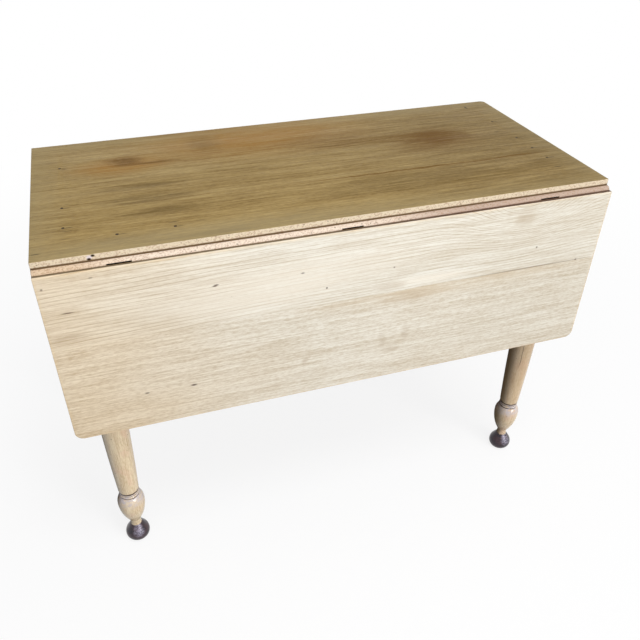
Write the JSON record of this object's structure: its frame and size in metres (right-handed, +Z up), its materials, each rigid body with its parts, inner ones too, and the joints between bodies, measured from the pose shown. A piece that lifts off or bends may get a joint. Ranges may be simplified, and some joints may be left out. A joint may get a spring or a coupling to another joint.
{
  "type": "drop-leaf table",
  "caption": "Wooden drop-leaf table with a two-board fixed top, leaves on rule joints, a pegged frame, swinging fly brackets and turned legs on dark ball feet.",
  "frame": {"origin": "on the floor, under the middle of the fixed top", "axes": "+X along the leaves' hinges, -Y towards the front leaf, +Z up"},
  "size_m": [1.03, 0.5082, 0.738],
  "materials": {
    "top_wood": "old oiled hardwood boards, worn and stained, satin",
    "leaf_wood": "pale bleached hardwood boards, matt",
    "leg_wood": "turned pale hardwood, thin old finish, satin",
    "foot_varnish": "turned wood under dark worn varnish, gloss",
    "frame_wood": "sawn and planed hardwood, unfinished inside",
    "peg_wood": "end grain, oiled",
    "hinge_iron": "old forged iron, dark, slightly rusty",
    "nail_iron": "cut iron nails, rusted dark"
  },
  "bodies": {
    "frame": {"fly_block_screws": "hinge_iron", "front_fly_block": "frame_wood", "front_left_ball_foot": "foot_varnish", "front_left_fly_pin": "hinge_iron", "front_left_hinge_pin": "hinge_iron", "front_left_hinge_top_plate": "hinge_iron", "front_left_leg": "leg_wood", "front_middle_hinge_pin": "hinge_iron", "front_middle_hinge_top_plate": "hinge_iron", "front_rail": "frame_wood", "front_right_ball_foot": "foot_varnish", "front_right_fly_pin": "hinge_iron", "front_right_hinge_pin": "hinge_iron", "front_right_hinge_top_plate": "hinge_iron", "front_right_leg": "leg_wood", "left_end_rail": "frame_wood", "rear_fly_block": "frame_wood", "rear_left_ball_foot": "foot_varnish", "rear_left_fly_pin": "hinge_iron", "rear_left_hinge_pin": "hinge_iron", "rear_left_hinge_top_plate": "hinge_iron", "rear_left_leg": "leg_wood", "rear_middle_hinge_pin": "hinge_iron", "rear_middle_hinge_top_plate": "hinge_iron", "rear_rail": "frame_wood", "rear_right_ball_foot": "foot_varnish", "rear_right_fly_pin": "hinge_iron", "rear_right_hinge_pin": "hinge_iron", "rear_right_hinge_top_plate": "hinge_iron", "rear_right_leg": "leg_wood", "right_end_rail": "frame_wood", "tenon_pegs": "peg_wood", "top_front_board": "top_wood", "top_hinge_screws": "hinge_iron", "top_nails": "nail_iron", "top_rear_board": "top_wood"},
    "front_leaf": {"front_leaf_hinge_screws": "hinge_iron", "front_leaf_lower_board": "leaf_wood", "front_leaf_upper_board": "leaf_wood", "front_left_hinge_leaf_plate": "hinge_iron", "front_middle_hinge_leaf_plate": "hinge_iron", "front_right_hinge_leaf_plate": "hinge_iron"},
    "rear_leaf": {"rear_leaf_hinge_screws": "hinge_iron", "rear_leaf_lower_board": "leaf_wood", "rear_leaf_upper_board": "leaf_wood", "rear_left_hinge_leaf_plate": "hinge_iron", "rear_middle_hinge_leaf_plate": "hinge_iron", "rear_right_hinge_leaf_plate": "hinge_iron"},
    "front_left_fly": {"front_left_fly_bracket": "frame_wood"},
    "front_right_fly": {"front_right_fly_bracket": "frame_wood"},
    "rear_left_fly": {"rear_left_fly_bracket": "frame_wood"},
    "rear_right_fly": {"rear_right_fly_bracket": "frame_wood"}
  },
  "joints": [
    {"name": "front_leaf_hinge", "type": "hinge", "parent": "frame", "child": "front_leaf", "pos_m": [0, -0.2365, 0.7204], "axis": [-1, 0, 0], "range_deg": [0, 90]},
    {"name": "rear_leaf_hinge", "type": "hinge", "parent": "frame", "child": "rear_leaf", "pos_m": [0, 0.2365, 0.7204], "axis": [1, 0, 0], "range_deg": [0, 90]},
    {"name": "front_left_fly_swing", "type": "hinge", "parent": "frame", "child": "front_left_fly", "pos_m": [-0.11, -0.2055, 0.681], "axis": [0, 0, 1], "range_deg": [0, 4.5]},
    {"name": "front_right_fly_swing", "type": "hinge", "parent": "frame", "child": "front_right_fly", "pos_m": [0.11, -0.2055, 0.681], "axis": [0, 0, -1], "range_deg": [0, 4.5]},
    {"name": "rear_left_fly_swing", "type": "hinge", "parent": "frame", "child": "rear_left_fly", "pos_m": [-0.11, 0.2055, 0.681], "axis": [0, 0, -1], "range_deg": [0, 4.5]},
    {"name": "rear_right_fly_swing", "type": "hinge", "parent": "frame", "child": "rear_right_fly", "pos_m": [0.11, 0.2055, 0.681], "axis": [0, 0, 1], "range_deg": [0, 4.5]}
  ]
}
